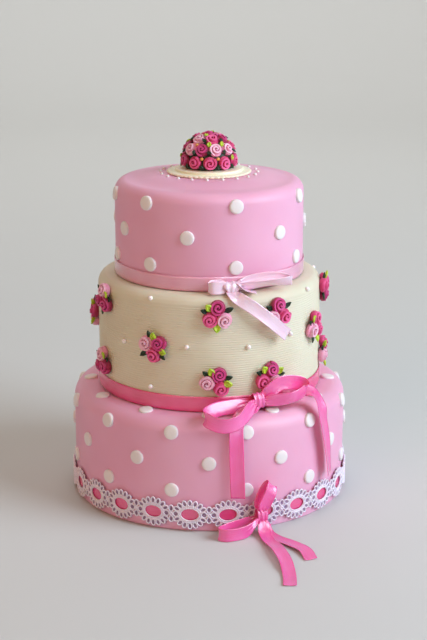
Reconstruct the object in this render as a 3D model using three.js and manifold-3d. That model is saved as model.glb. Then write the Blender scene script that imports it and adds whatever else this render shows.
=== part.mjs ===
// A three-tier wedding cake in pink and cream sugarpaste, with polka dots, sugar roses, satin
// ribbons and a lace trim. Millimetres, +Z up. The origin is the middle of the underside, and the
// front of the cake looks along -Y. An angle round the cake is 0 at the front and grows to the
// right of someone who faces it.
import * as THREE from "three";
import { mergeVertices } from "three/addons/utils/BufferGeometryUtils.js";
import Module from "manifold-3d";

const wasm = await Module();
wasm.setup();

// Gap between pieces that touch
const GAP = 0.3;

// Tiers: a rounded shoulder joins the side to the top, and a crown may rise to a level patch
const BOTTOM = { radius: 117.5, foot: 0, top: 95, shoulder: 12, crown: 0, sides: 48 };
const MIDDLE = { radius: 95, foot: BOTTOM.top + GAP, top: 192.3, shoulder: 9, crown: 0, sides: 44 };
const TOP = { radius: 80, foot: MIDDLE.top + GAP, top: 272, shoulder: 10, crown: 4.3, sides: 36 };
const CROWN_FLAT = 43;
const SUMMIT = TOP.top + TOP.crown;

// Polka dots: the radius at the wall and at the face, the height of the face's edge and middle,
// and the depth under the icing. Each row then has its height and the slope of the wall there.
const DOT = { radius: 6, face: 5.8, edge: 1.6, rise: 2, sides: 8, sunk: 2.5 };
const DOTS_ROUND = 12;
const LOW_ROWS = [
  { z: 84.5, radius: BOTTOM.radius, slope: 10, first: 15 },
  { z: 59, radius: BOTTOM.radius, slope: 0, first: 0 },
  { z: 35, radius: BOTTOM.radius, slope: 0, first: 15 },
  { z: BOTTOM.top, radius: 103.2, slope: 84, first: 0 },
];
const HIGH_ROWS = [
  { z: 262, slope: 8, angles: [-76, -39, 16, 68, 112, 158, -158, -117] },
  { z: 236.5, slope: 0, angles: [-60, -12.6, 46, 86.5, 131, 177, -138, -99] },
  { z: 211.8, slope: 0, angles: [-72, -36.6, 15.8, 64, 110, 156, -159, -115] },
];

// Pearls on the cream tier: the radius, and how far the middle of one stands off the wall, then
// the angle and height of each
const PEARL = { radius: 2, proud: 0.8 };
const PEARLS = [
  [-30, 188], [-10.8, 150.4], [-30, 113.5], [19.6, 149.3], [44.3, 154.3], [59, 187],
  [-47, 147], [107, 187], [138, 148], [-160, 148],
];

// Icing dots in a ring round the plaque
const ICING_DOT = { radius: 1.4, ring: 41, count: 20, first: -2, proud: 0.4 };

// The plaque: a thin disc with a scalloped rim, and a raised step on it
const PLAQUE = { radius: 35.7, rim: 1.7, step: 28.5, height: 4, draft: 0.8, sides: 48, scallop: 0.4 };

// The dome of roses on the plaque: a domed core over an upright foot, and the roses sunk into it.
// Each ring is a count, a climb from the level in degrees and the angle of its first rose.
const DOME = {
  foot: 6, radius: 20.9, height: 20.6, sides: 10,
  rose: { radius: 5.5, height: 6.6, sunk: 2.8 },
  rings: [[10, 0, 2], [10, 31, 18], [6, 60, 14], [1, 90, 0]],
};
const ARC_STEPS = 3;

// Sugar roses: the widest place and the mouth are shares of a rose's size. The leaves between them
// have offsets from the turn of the cluster, and their tips are tilted up.
const ROSE = { radius: 6.5, foot: 4.9, height: 7.6, spread: 6.3, sides: 5 };
const ROSE_SHAPE = { widestAt: 0.5, mouth: 0.55, mouthAt: 0.93 };
const LEAF = {
  length: 10.6, width: 6.2, thickness: 2, distance: 8.9, lift: 2, tilt: 12, offsets: [55, 175, 295],
};

// Clusters on the cream tier: angle, height, turn
const CLUSTERS = [
  [-63, 178, 80], [4, 177.5, 87], [35, 175.2, 90], [86, 179, 40],
  [-92, 154, 20], [-27.6, 148, 35], [64.5, 153.5, 80],
  [-66, 121.8, 95], [3.3, 121.8, 66], [30.4, 121.8, 80], [86, 121.8, 80],
  [116, 152, 35], [146, 178, 70], [150, 121.8, 15], [178, 152, 95], [-152, 178, 20], [-122, 121.8, 60],
];

// Satin ribbon
const BAND = { thickness: 0.7, top: 12, middle: 13, lift: 0.4 };
const RIBBON_THICKNESS = 0.8;

// Lace round the foot, threaded on a ribbon. A medallion meets the next at a joint, and its edge
// has points and notches in turn, given by their angles and by the depth of a notch.
const LACE = {
  medallions: 24, foot: 1.5, height: 27.5, thickness: 1,
  radius: BOTTOM.radius + BAND.thickness + 0.9,
  joint: 6, points: 5, firstPoint: 42, pointStep: 24, notch: 0.8, holeWidth: 14, holeHeight: 9,
};
const LACE_RIBBON = { foot: 9.5, width: 11.5 };

// Bows. Places and width directions are in the bow's own frame on the wall: to the right, height
// above the table, outwards from the wall. Each stop is a place and the way the width points.
const TOP_BOW = {
  angle: 12.6, radius: TOP.radius, width: 10.6,
  knot: { at: [0, 196.8, 5.8], half: [6.4, 5, 4] },
  loops: [
    [
      [[-1, 198.2, 4], [0, 1, 0]], [[-9, 198.4, 2.4], [0, 1, 0]], [[-16, 198.4, 3], [0, 1, 0]],
      [[-19.5, 198.4, 6], [0, 1, 0]], [[-16, 198.4, 9.4], [0, 1, 0]], [[-8, 198.3, 8.6], [0, 1, 0]],
      [[-1, 198.2, 6.4], [0, 1, 0]],
    ],
    [
      [[1, 198.2, 4], [0, 1, 0]], [[14, 200.4, 2.6], [-0.1, 1, -0.2]], [[32, 202.4, 2], [-0.1, 1, -0.3]],
      [[47, 200.4, 2.6], [0, 1, 0]], [[48.4, 200.4, 6], [0, 0.9, 0.4]], [[32, 200.2, 9.4], [0, 0.65, 0.75]],
      [[14, 198.6, 9], [0, 0.8, 0.6]], [[1, 198.2, 6.4], [0, 1, 0]],
    ],
  ],
  tails: [
    [
      [[-1, 196, 5.6], [1, 0, 0]], [[-0.6, 193.6, 11], [1, 0, 0]], [[3, 190.4, 16.6], [0.85, 0.5, 0]],
      [[14, 183.2, 20.4], [0.65, 0.75, -0.1]], [[29, 171.2, 21], [0.62, 0.75, -0.2]],
      [[45, 156.6, 12.4], [0.58, 0.75, -0.3]],
    ],
    [
      [[1, 198, 6.8], [0, 1, 0.5]], [[9, 195.4, 8], [0, 0.3, 1]], [[19, 193.6, 9.6], [-0.2, 0, 1]],
    ],
  ],
};

const MIDDLE_BOW = {
  angle: 23, radius: MIDDLE.radius, width: 12,
  knot: { at: [0, 105, 7], half: [5, 6.2, 4.2] },
  loops: [
    [
      [[-1, 105, 5], [0, 1, -0.2]], [[-16, 102.5, 5.4], [0, 0.9, -0.4]], [[-36, 102.3, 7.4], [0, 0.9, -0.4]],
      [[-50, 99.6, 15], [0, 0.95, -0.2]], [[-40, 94, 24.6], [0, 1, 0]], [[-25, 95.8, 25.4], [0, 1, 0]],
      [[-10, 103, 16], [0, 1, -0.3]], [[-1, 105, 8.6], [0, 1, -0.2]],
    ],
    [
      [[1, 105, 5], [0, 1, 0]], [[8, 112, 10.4], [-0.3, 1, -0.1]], [[20, 118.6, 10.8], [-0.2, 1, -0.1]],
      [[37, 115.6, 8.6], [0.2, 1, 0]], [[40, 110.6, 13], [0.2, 1, 0]], [[26, 107.4, 18.4], [-0.1, 1, 0.4]],
      [[11, 105.6, 13.6], [0, 1, 0.3]], [[1, 105, 8.6], [0, 1, 0]],
    ],
  ],
  tails: [
    [
      [[0, 103, 7.6], [1, 0, 0]], [[-8, 100, 11], [0.95, 0, 0.2]], [[-18, 97, 15.6], [0.97, 0, 0.2]],
      [[-25.2, 91, 21.4], [0.98, 0, 0.18]], [[-26.8, 80, 24.4], [0.98, 0, 0.2]],
      [[-26.6, 56, 25.6], [0.93, 0, 0.36]], [[-26.2, 31, 27], [0.84, 0, 0.54]],
    ],
    [
      [[1, 104, 6], [0, 1, 0]], [[14, 103, 5.4], [0, 0.8, -0.6]], [[28, 104.6, 4.4], [-0.1, 0.7, -0.7]],
      [[41, 108, 5.4], [-0.3, 0.5, -0.8]], [[49, 106, 12.4], [0.4, 0.3, -0.8]],
      [[53, 96, 16.6], [0.8, 0, -0.5]], [[56.6, 80, 14.8], [0.8, 0, -0.6]],
      [[62, 56, 11.6], [0.74, 0, -0.67]], [[64.8, 33, 10.4], [0.64, 0, -0.77]],
    ],
  ],
};

const LOW_BOW = {
  angle: 20, radius: LACE.radius + LACE.thickness, width: 10.5,
  knot: { at: [0, 14.6, 5], half: [4.6, 6, 3.8] },
  loops: [
    [
      [[0, 15, 3.4], [1, 0, 0]], [[-0.6, 25, 3], [0.94, -0.33, 0]], [[4.4, 37, 4], [0.76, -0.65, 0]],
      [[7.6, 41.4, 7.6], [0.7, -0.72, 0]], [[5.2, 35, 11], [0.8, -0.6, 0]], [[0.8, 24, 9.4], [0.94, -0.33, 0]],
      [[0.6, 15, 6.6], [1, 0, 0]],
    ],
    [
      [[-1, 13.4, 3.6], [0, 1, 0]], [[-12, 8.4, 2.6], [0, 1, 0]], [[-28, 6, 3.6], [0, 1, 0]],
      [[-39, 5.8, 10], [0, 1, 0]], [[-32, 5.8, 16], [0, 1, 0]], [[-16, 6.4, 14], [0, 1, 0]],
      [[-1, 13.4, 6.6], [0, 1, 0]],
    ],
  ],
  tails: [
    [
      [[0, 13, 6.6], [1, 0, 0]], [[0, 8.6, 10.6], [1, 0, 0]], [[-1.4, 3.8, 16.4], [1, 0, 0.05]],
      [[-2.6, 2.2, 29], [1, 0, 0.05]], [[-3.8, 4.6, 50], [0.99, 0, 0.1]],
      [[-6.8, 4, 73], [0.97, 0, 0.22]], [[-11.6, 1, 92], [0.94, 0, 0.32]],
      [[-17.8, 0.8, 108], [0.92, 0, 0.38]],
    ],
    [
      [[0.6, 12, 5.8], [1, 0, 0]], [[1.8, 6, 8.2], [0.98, 0, -0.2]], [[3.2, 1.4, 13], [0.96, 0, -0.28]],
      [[6.6, 0.8, 24], [0.93, 0, -0.36]], [[12.6, 1.6, 39], [0.92, 0, -0.38]],
      [[17, 2.4, 55], [0.99, 0, -0.12]], [[16, 0.8, 70], [1, 0, 0.1]],
    ],
  ],
};
const LOOP_STEPS = 10;
const TAIL_STEPS = 8;
const GATHERED = 0.4;
const GATHER_END = 0.16;

const COLOURS = {
  pink: 0xe9a8c8, cream: 0xf0e8d2, roses: 0xd9578f, hotPink: 0xf0569b, palePink: 0xf3b6d3,
  lace: 0xfbf5fa,
};

const rad = THREE.MathUtils.degToRad;

// A closed geometry as a solid that can be joined to others
function solid(geometry) {
  const bare = geometry.index ? geometry.toNonIndexed() : geometry.clone();
  bare.deleteAttribute("normal");
  bare.deleteAttribute("uv");
  const merged = mergeVertices(bare, 1e-4);
  const mesh = new wasm.Mesh({
    numProp: 3,
    vertProperties: merged.attributes.position.array,
    triVerts: new Uint32Array(merged.index.array),
  });
  return new wasm.Manifold(mesh);
}

// Several closed geometries joined into one
function fuse(geometries) {
  const mesh = geometries.map(solid).reduce((whole, next) => whole.add(next)).getMesh();
  const geometry = new THREE.BufferGeometry();
  geometry.setAttribute("position", new THREE.BufferAttribute(mesh.vertProperties, 3));
  geometry.setIndex(new THREE.BufferAttribute(mesh.triVerts, 1));
  return geometry;
}

// A turned shape about +Z, from radius and height pairs that run up its outside, with the middle
// of a facet at the front
function turned(profile, sides) {
  const points = profile.map(([r, z]) => new THREE.Vector2(r, z));
  return new THREE.LatheGeometry(points, sides, Math.PI / sides).rotateX(Math.PI / 2);
}

// The frame on a wall round the cake: x to the right, y up the wall, z outwards
function wallFrame(angle, radius, z) {
  const right = new THREE.Vector3(Math.cos(rad(angle)), Math.sin(rad(angle)), 0);
  const up = new THREE.Vector3(0, 0, 1);
  const out = new THREE.Vector3(Math.sin(rad(angle)), -Math.cos(rad(angle)), 0);
  const frame = new THREE.Matrix4().makeBasis(right, up, out);
  return frame.setPosition(out.x * radius, out.y * radius, z);
}

// Puts a shape whose base lies on z = 0 onto a wall. The slope leans its top back to the cake.
function onWall(geometry, angle, radius, z, slope = 0) {
  return geometry.rotateX(-rad(slope)).applyMatrix4(wallFrame(angle, radius, z));
}

// The body of a tier: upright side, rounded shoulder and top
function tierBody({ radius, foot, top, shoulder, crown, sides }) {
  const profile = [[0, foot], [radius, foot]];
  for (let i = 0; i <= ARC_STEPS; i++) {
    const turn = (Math.PI / 2) * (i / ARC_STEPS);
    const reach = radius - shoulder + shoulder * Math.cos(turn);
    profile.push([reach, top - shoulder + shoulder * Math.sin(turn)]);
  }
  if (crown > 0) profile.push([CROWN_FLAT, top + crown]);
  profile.push([0, top + crown]);
  return turned(profile, sides);
}

// How far a tier reaches from its axis at a height, on the side or the shoulder
function reachAt({ radius, top, shoulder }, z) {
  const rise = Math.max(0, z - (top - shoulder));
  return radius - shoulder + Math.sqrt(shoulder ** 2 - rise ** 2);
}

// A polka dot is a small disc with a softly domed face, sunk into the tier behind it
function dot() {
  const { radius, face, edge, rise, sides, sunk } = DOT;
  return turned([[0, -sunk], [radius, -sunk], [face, edge], [0, rise]], sides);
}

function bottomTier() {
  const pieces = [tierBody(BOTTOM)];
  for (const { z, radius, slope, first } of LOW_ROWS) {
    for (let i = 0; i < DOTS_ROUND; i++) {
      pieces.push(onWall(dot(), first + (360 / DOTS_ROUND) * i, radius, z, slope));
    }
  }
  return fuse(pieces);
}

function middleTier() {
  const pieces = [tierBody(MIDDLE)];
  for (const [angle, z] of PEARLS) {
    const pearl = new THREE.OctahedronGeometry(PEARL.radius);
    pieces.push(onWall(pearl, angle, reachAt(MIDDLE, z) + PEARL.proud, z));
  }
  return fuse(pieces);
}

function topTier() {
  const pieces = [tierBody(TOP)];
  for (const { z, slope, angles } of HIGH_ROWS) {
    for (const angle of angles) pieces.push(onWall(dot(), angle, TOP.radius, z, slope));
  }
  const { radius, ring, count, first, proud } = ICING_DOT;
  for (let i = 0; i < count; i++) {
    const bead = new THREE.OctahedronGeometry(radius).translate(0, -ring, SUMMIT + proud);
    pieces.push(bead.rotateZ(rad(first + (360 / count) * i)));
  }
  return fuse(pieces);
}

// The corners of the plaque's rim stand out and in by turns, which scallops it
function plaque() {
  const { radius, rim, step, height, draft, sides, scallop } = PLAQUE;
  const profile = [[0, 0], [radius, 0], [radius, rim], [step + draft, rim], [step, height], [0, height]];
  const disc = turned(profile, sides);
  const position = disc.attributes.position;
  for (let i = 0; i < position.count; i++) {
    const x = position.getX(i);
    const y = position.getY(i);
    if (Math.hypot(x, y) < (step + radius) / 2) continue;
    const lobe = 1 + (scallop / radius) * Math.sin((Math.atan2(y, x) * sides) / 2);
    position.setXYZ(i, x * lobe, y * lobe, position.getZ(i));
  }
  return disc.translate(0, 0, SUMMIT + GAP);
}

// A sugar rose: rolled petals that flare from its foot to a rim, with the bud in the middle
function rose(radius, height, foot) {
  const { widestAt, mouth, mouthAt } = ROSE_SHAPE;
  const flower = [[radius, height * widestAt], [radius * mouth, height * mouthAt], [0, height]];
  return turned([...foot, ...flower], ROSE.sides);
}

// A leaf points away from the middle of its cluster, with its tip raised
function leaf(direction) {
  const { length, width, thickness, distance, lift, tilt } = LEAF;
  const blade = new THREE.OctahedronGeometry(1).scale(length / 2, width / 2, thickness / 2);
  return blade.rotateY(-rad(tilt)).translate(distance, 0, lift).rotateZ(rad(direction));
}

// Three roses that lean on each other, with leaves in the corners between them. The first rose
// stands at the turn, an angle in the plane of the wall, and the others at thirds of a circle.
function roseCluster(turn) {
  const pieces = [];
  for (let i = 0; i < 3; i++) {
    const bloom = rose(ROSE.radius, ROSE.height, [[0, 0], [ROSE.foot, 0]]);
    pieces.push(bloom.rotateZ(Math.PI / 2).translate(ROSE.spread, 0, 0).rotateZ(rad(turn + 120 * i)));
  }
  for (const offset of LEAF.offsets) pieces.push(leaf(turn + offset));
  return fuse(pieces);
}

// Roses packed in rings over a domed core that stands on the plaque
function roseDome() {
  const { foot, radius, height, sides, rings } = DOME;
  const profile = [[0, 0], [radius, 0]];
  for (let i = 0; i <= ARC_STEPS; i++) {
    const turn = (Math.PI / 2) * (i / ARC_STEPS);
    profile.push([radius * Math.cos(turn), foot + height * Math.sin(turn)]);
  }
  const pieces = [turned(profile, sides)];
  for (const [count, climb, first] of rings) {
    for (let i = 0; i < count; i++) {
      const bloom = rose(DOME.rose.radius, DOME.rose.height, [[0, 0]]);
      bloom.translate(0, 0, -DOME.rose.sunk).rotateX(Math.PI / 2 - rad(climb));
      bloom.translate(0, -radius * Math.cos(rad(climb)), foot + height * Math.sin(rad(climb)));
      pieces.push(bloom.rotateZ(rad(first + (360 / count) * i)));
    }
  }
  return fuse(pieces).translate(0, 0, SUMMIT + PLAQUE.height + 2 * GAP);
}

// A closed band of ribbon round a tier
function band({ radius, sides }, foot, width) {
  const inner = radius + GAP;
  const outer = inner + BAND.thickness;
  const top = foot + width;
  return turned([[inner, foot], [outer, foot], [outer, top], [inner, top], [inner, foot]], sides);
}

// A strip of ribbon is a thin box bent along a route. It is gathered where it enters the knot: at
// its start, and for a loop at its end too.
function strip(stops, width, steps, isLoop) {
  const middle = new THREE.CatmullRomCurve3(stops.map(([place]) => new THREE.Vector3(...place)));
  const across = new THREE.CatmullRomCurve3(stops.map(([, way]) => new THREE.Vector3(...way)));
  const box = new THREE.BoxGeometry(1, width, RIBBON_THICKNESS, steps, 1, 1);
  const position = box.attributes.position;
  for (let i = 0; i < position.count; i++) {
    const t = THREE.MathUtils.clamp(position.getX(i) + 0.5, 0, 1);
    const along = middle.getTangent(t);
    const side = across.getPoint(t);
    side.addScaledVector(along, -side.dot(along)).normalize();
    const face = along.clone().cross(side);
    const point = middle.getPoint(t);
    const fromKnot = isLoop ? Math.min(t, 1 - t) : t;
    const spread = GATHERED + (1 - GATHERED) * THREE.MathUtils.smoothstep(fromKnot, 0, GATHER_END);
    point.addScaledVector(side, position.getY(i) * spread).addScaledVector(face, position.getZ(i));
    position.setXYZ(i, point.x, point.y, point.z);
  }
  return box;
}

// A bow: a knot, loops that leave it and come back, and tails that hang or lie
function bow({ angle, radius, width, knot, loops, tails }) {
  const pieces = [new THREE.CylinderGeometry(1, 1, 2, 6).rotateZ(Math.PI / 2)];
  pieces[0].scale(...knot.half).translate(...knot.at);
  for (const loop of loops) pieces.push(strip(loop, width, LOOP_STEPS, true));
  for (const tail of tails) pieces.push(strip(tail, width, TAIL_STEPS, false));
  return fuse(pieces).applyMatrix4(wallFrame(angle, radius, 0));
}

// One medallion of the lace, drawn flat round its own middle: a scalloped edge and an oval hole
function medallionShape() {
  const { medallions, radius, height, joint, points, firstPoint, pointStep } = LACE;
  const reach = (Math.PI * radius) / medallions;
  const half = height / 2;
  const outline = [];
  for (const side of [1, -1]) {
    outline.push(new THREE.Vector2(reach * side, joint * side));
    for (let i = 0; i < points; i++) {
      const turn = rad(firstPoint + pointStep * i);
      const size = side * half * (i % 2 ? LACE.notch : 1);
      outline.push(new THREE.Vector2(size * Math.cos(turn), size * Math.sin(turn)));
    }
    outline.push(new THREE.Vector2(-reach * side, joint * side));
  }
  const shape = new THREE.Shape(outline);
  const hole = new THREE.Path();
  hole.absellipse(0, 0, LACE.holeWidth / 2, LACE.holeHeight / 2, 0, Math.PI * 2, true);
  shape.holes.push(hole);
  return shape;
}

// A flat medallion without the two end faces where its neighbours join on
function openMedallion() {
  const options = { depth: LACE.thickness, bevelEnabled: false, curveSegments: 3 };
  const flat = new THREE.ExtrudeGeometry(medallionShape(), options);
  const end = (Math.PI * LACE.radius) / LACE.medallions - 0.01;
  const position = flat.attributes.position;
  const kept = [];
  for (let i = 0; i < position.count; i += 3) {
    const reaches = [0, 1, 2].map((k) => position.getX(i + k));
    if (reaches.every((x) => x > end) || reaches.every((x) => x < -end)) continue;
    for (let k = 0; k < 3; k++) kept.push(reaches[k], position.getY(i + k), position.getZ(i + k));
  }
  return kept;
}

// The lace is a ring of medallions, bent round the foot of the cake
function laceTrim() {
  const { medallions, foot, height, radius } = LACE;
  const flat = openMedallion();
  const bent = [];
  for (let i = 0; i < medallions; i++) {
    for (let j = 0; j < flat.length; j += 3) {
      const turn = flat[j] / radius + rad((i + 0.5) * (360 / medallions));
      const reach = radius + flat[j + 2];
      bent.push(reach * Math.sin(turn), -reach * Math.cos(turn), foot + height / 2 + flat[j + 1]);
    }
  }
  const ring = new THREE.BufferGeometry();
  ring.setAttribute("position", new THREE.Float32BufferAttribute(bent, 3));
  return mergeVertices(ring, 1e-3);
}

const cake = new THREE.Group();

function add(name, geometry, color, roughness) {
  const material = new THREE.MeshStandardMaterial({ color, roughness, metalness: 0 });
  const mesh = new THREE.Mesh(geometry, material);
  mesh.name = name;
  cake.add(mesh);
}

add("bottom_tier", bottomTier(), COLOURS.pink, 0.45);
add("middle_tier", middleTier(), COLOURS.cream, 0.6);
add("top_tier", topTier(), COLOURS.pink, 0.45);
add("plaque", plaque(), COLOURS.cream, 0.5);
add("rose_dome", roseDome(), COLOURS.roses, 0.55);
CLUSTERS.forEach(([angle, z, turn], i) => {
  const cluster = onWall(roseCluster(turn), angle, MIDDLE.radius + GAP, z);
  add(`rose_cluster_${String(i + 1).padStart(2, "0")}`, cluster, COLOURS.roses, 0.55);
});
add("top_ribbon", band(TOP, TOP.foot + BAND.lift, BAND.top), COLOURS.palePink, 0.35);
add("middle_ribbon", band(MIDDLE, MIDDLE.foot + BAND.lift, BAND.middle), COLOURS.hotPink, 0.35);
add("lace_ribbon", band(BOTTOM, LACE_RIBBON.foot, LACE_RIBBON.width), COLOURS.hotPink, 0.35);
add("lace_trim", laceTrim(), COLOURS.lace, 0.8);
add("top_bow", bow(TOP_BOW), COLOURS.palePink, 0.35);
add("middle_bow", bow(MIDDLE_BOW), COLOURS.hotPink, 0.35);
add("low_bow", bow(LOW_BOW), COLOURS.hotPink, 0.35);

export default cake;
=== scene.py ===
# %% [markdown]
# # A tiered wedding cake
#
# Three round tiers stand on each other: pink sugarpaste with white dots, cream sugarpaste with fine
# level ribs, and pink again. Sugar roses, satin ribbons and a lace trim dress them. The sizes and
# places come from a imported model, the frame, whose pieces are hidden one by one and replaced here
# by finely modelled ones that keep the same form.
#
# Each step first says what the piece is on a real cake, then how it is made and why.

# %% Load the frame and keep its box
from math import atan2, ceil, cos, hypot, pi, radians, sin, tau

import bmesh
import bpy
from mathutils import Matrix, Vector, noise


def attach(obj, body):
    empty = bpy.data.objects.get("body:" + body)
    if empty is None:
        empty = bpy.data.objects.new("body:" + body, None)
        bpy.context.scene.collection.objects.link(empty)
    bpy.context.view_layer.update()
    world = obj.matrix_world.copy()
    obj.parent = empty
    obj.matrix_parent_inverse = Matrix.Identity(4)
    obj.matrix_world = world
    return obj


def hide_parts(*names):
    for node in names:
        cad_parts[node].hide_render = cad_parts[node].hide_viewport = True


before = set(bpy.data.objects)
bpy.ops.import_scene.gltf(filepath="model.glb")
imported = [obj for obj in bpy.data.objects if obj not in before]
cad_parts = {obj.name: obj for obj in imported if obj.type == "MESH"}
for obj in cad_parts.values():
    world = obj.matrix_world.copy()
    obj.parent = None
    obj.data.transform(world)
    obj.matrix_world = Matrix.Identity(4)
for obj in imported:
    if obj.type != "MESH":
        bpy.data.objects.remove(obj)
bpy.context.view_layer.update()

# %% [markdown]
# ## Camera
#
# The camera stands in front of the cake and looks down on it a little, so that the top of each tier
# shows as a thin ellipse. A long lens keeps the upright sides parallel. The place and the tilt were
# worked out from the tiers' ellipses: the lower ones are rounder than the upper ones.

# %% The camera
MM = 0.001
CAMERA_PLACE = Vector((3.7, -1283, 505)) * MM
CAMERA_DOWN = radians(15.6)
CAMERA_LENS = 86.6

camera_data = bpy.data.cameras.new("camera")
camera_data.lens = CAMERA_LENS
camera = bpy.data.objects.new("camera", camera_data)
camera.location = CAMERA_PLACE
camera.rotation_euler = (pi / 2 - CAMERA_DOWN, 0, 0)
bpy.context.scene.collection.objects.link(camera)
bpy.context.scene.camera = camera
print("camera:", [round(x, 3) for x in CAMERA_PLACE], "lens", CAMERA_LENS)

# %% [markdown]
# ## Colours and finishes
#
# A colour is easiest to judge on a screen, where it is stored with a curve that spends more steps
# on dark tones. Shaders count light itself, so each colour is first made linear. The view
# transform is set to Standard, because the hot pinks of the ribbon would turn pale in a film-like
# one.
#
# The finishes share a small helper that adds a node, sets its values and links what it is given.

# %% Helpers for materials
bpy.context.scene.view_settings.view_transform = "Standard"


def linear(red, green, blue):
    """A screen colour of 0 to 255 a channel as a shader's colour"""
    shares = [c / 255 for c in (red, green, blue)]
    return tuple(c / 12.92 if c < 0.04 else ((c + 0.055) / 1.055) ** 2.4 for c in shares) + (1,)


def node(material, kind, inputs=None, **settings):
    """Adds a node. An input that is a socket is linked, and any other is set."""
    tree = material.node_tree
    new = tree.nodes.new("ShaderNode" + kind)
    for name, value in settings.items():
        setattr(new, name, value)
    for name, value in (inputs or {}).items():
        if isinstance(value, bpy.types.NodeSocket):
            tree.links.new(value, new.inputs[name])
        else:
            new.inputs[name].default_value = value
    return new


def new_finish(name, **sockets):
    """A material with its main shader, and the shader's sockets by name with _ for a space"""
    material = bpy.data.materials.new(name)
    material.use_nodes = True
    shader = material.node_tree.nodes["Principled BSDF"]
    for socket, value in sockets.items():
        shader.inputs[socket.replace("_", " ")].default_value = value
    return material, shader


def blend_colours(material, factor, first, second):
    """A colour that runs from the first to the second as the factor goes from 0 to 1"""
    mix = node(material, "Mix", data_type="RGBA")
    material.node_tree.links.new(factor, mix.inputs[0])
    for socket, colour in ((mix.inputs[6], first), (mix.inputs[7], second)):
        if isinstance(colour, bpy.types.NodeSocket):
            material.node_tree.links.new(colour, socket)
        else:
            socket.default_value = colour
    return mix.outputs[2]


def ramp(material, value, low, high):
    """Stretches the part of a value between low and high to run from 0 to 1"""
    limits = {"Value": value, "From Min": low, "From Max": high}
    return node(material, "MapRange", limits).outputs["Result"]


def cloud(material, size, detail=2.0, where=None):
    """Soft noise whose blotches are about that size, in metres, on the object's own coordinates"""
    where = where or node(material, "TexCoord").outputs["Object"]
    inputs = {"Vector": where, "Scale": 1 / size, "Detail": detail}
    return node(material, "TexNoise", inputs).outputs["Fac"]


def join(material, source, shader, name):
    """Links a colour or a value to a socket of the main shader"""
    material.node_tree.links.new(source, shader.inputs[name])


def relief(material, shader, height, depth, strength):
    """A fine relief that is too small to model, its depth in metres"""
    bump = node(material, "Bump", {"Height": height, "Distance": depth, "Strength": strength})
    join(material, bump.outputs["Normal"], shader, "Normal")


print("white on the screen is", linear(255, 255, 255), "and middle grey", linear(128, 128, 128))

# %% [markdown]
# ## Sugarpaste
#
# Rolled icing is smooth and dense, and light goes a little way into it. Polished with pearl
# dust it gets a soft wide gloss rather than a sharp one. So the finish is a rough surface with some
# light under its skin and a thin rough coat. Its tone drifts slightly over some centimetres, and a
# faint unevenness of a few millimetres breaks the gloss up as hand smoothing does.

# %% Sugarpaste in pink, white and cream
HAND = {"fine": 0.0012, "coarse": 0.012, "fine_share": 0.25, "depth": 0.0003, "strength": 0.5}
GLOSS_DRIFT = {"size": 0.02, "below": 0.06, "above": 0.08}


def sugarpaste(name, colour, deeper, roughness=0.5, coat=0.12):
    material, shader = new_finish(
        name, Roughness=roughness, Subsurface_Weight=0.12, Subsurface_Scale=0.004,
        Coat_Weight=coat, Coat_Roughness=0.4,
    )
    drift = ramp(material, cloud(material, 0.06), 0.35, 0.65)
    join(material, blend_colours(material, drift, colour, deeper), shader, "Base Color")
    fine, coarse = cloud(material, HAND["fine"]), cloud(material, HAND["coarse"])
    parts = {0: fine, 1: HAND["fine_share"], 2: coarse}
    hand_smoothed = node(material, "Math", parts, operation="MULTIPLY_ADD").outputs[0]
    relief(material, shader, hand_smoothed, HAND["depth"], HAND["strength"])
    gloss = cloud(material, GLOSS_DRIFT["size"])
    limits = {"To Min": roughness - GLOSS_DRIFT["below"], "To Max": roughness + GLOSS_DRIFT["above"]}
    spread = node(material, "MapRange", {"Value": gloss, **limits})
    join(material, spread.outputs["Result"], shader, "Roughness")
    return material


PINK_PASTE = sugarpaste("pink_sugarpaste", linear(238, 177, 206), linear(234, 168, 199), coat=0.2)
WHITE_PASTE = sugarpaste("white_sugarpaste", linear(240, 234, 234), linear(234, 226, 228))
CREAM_PASTE = sugarpaste("cream_sugarpaste", linear(225, 219, 196), linear(218, 210, 184), 0.55)
PLAQUE_PASTE = sugarpaste("plaque_icing", linear(252, 246, 222), linear(248, 240, 212), 0.4)
print("sugarpaste:", PINK_PASTE.name, WHITE_PASTE.name, CREAM_PASTE.name, PLAQUE_PASTE.name)

# %% [markdown]
# ## From a shape to a piece
#
# Every piece is modelled in a bmesh, Blender's editable mesh, at its place on the cake. The helper
# below makes an object of it, smooths its shading, lets it ride on the cake's one body and, where it
# stands for a piece of the frame, hides that piece.
#
# Small shapes such as a dot or a rose are made once and stamped many times into a larger mesh.

# %% Helpers for pieces
WELD = 1e-6
SEAM_WELD = 1e-5
THREAD_EDGES = 60
print("points nearer than", WELD, "m are joined, and", SEAM_WELD, "m at a ribbon's seam")


def finish_piece(name, shape, materials, stands_for=(), smooth_to=35):
    """The shape as a piece of the cake. Edges sharper than smooth_to degrees stay crisp, or none
    where it is 0."""
    mesh = bpy.data.meshes.new(name)
    shape.to_mesh(mesh)
    shape.free()
    for material in materials:
        mesh.materials.append(material)
    mesh.polygons.foreach_set("use_smooth", [True] * len(mesh.polygons))
    if smooth_to:
        mesh.set_sharp_from_angle(angle=radians(smooth_to))
    piece = bpy.data.objects.new(name, mesh)
    bpy.context.scene.collection.objects.link(piece)
    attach(piece, "root")
    if stands_for:
        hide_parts(*stands_for)
    print(f"{name}: {len(mesh.polygons)} faces")
    return piece


def as_mesh(name, shape):
    """A small shape kept as a mesh, ready to be stamped"""
    mesh = bpy.data.meshes.new(name)
    shape.to_mesh(mesh)
    shape.free()
    return mesh


def stamp(shape, mesh, place, material=0):
    """Adds a copy of a small mesh to a shape, at a place given by a matrix"""
    placed = mesh.copy()
    placed.transform(place)
    placed.polygons.foreach_set("material_index", [material] * len(placed.polygons))
    shape.from_mesh(placed)
    bpy.data.meshes.remove(placed)


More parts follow.
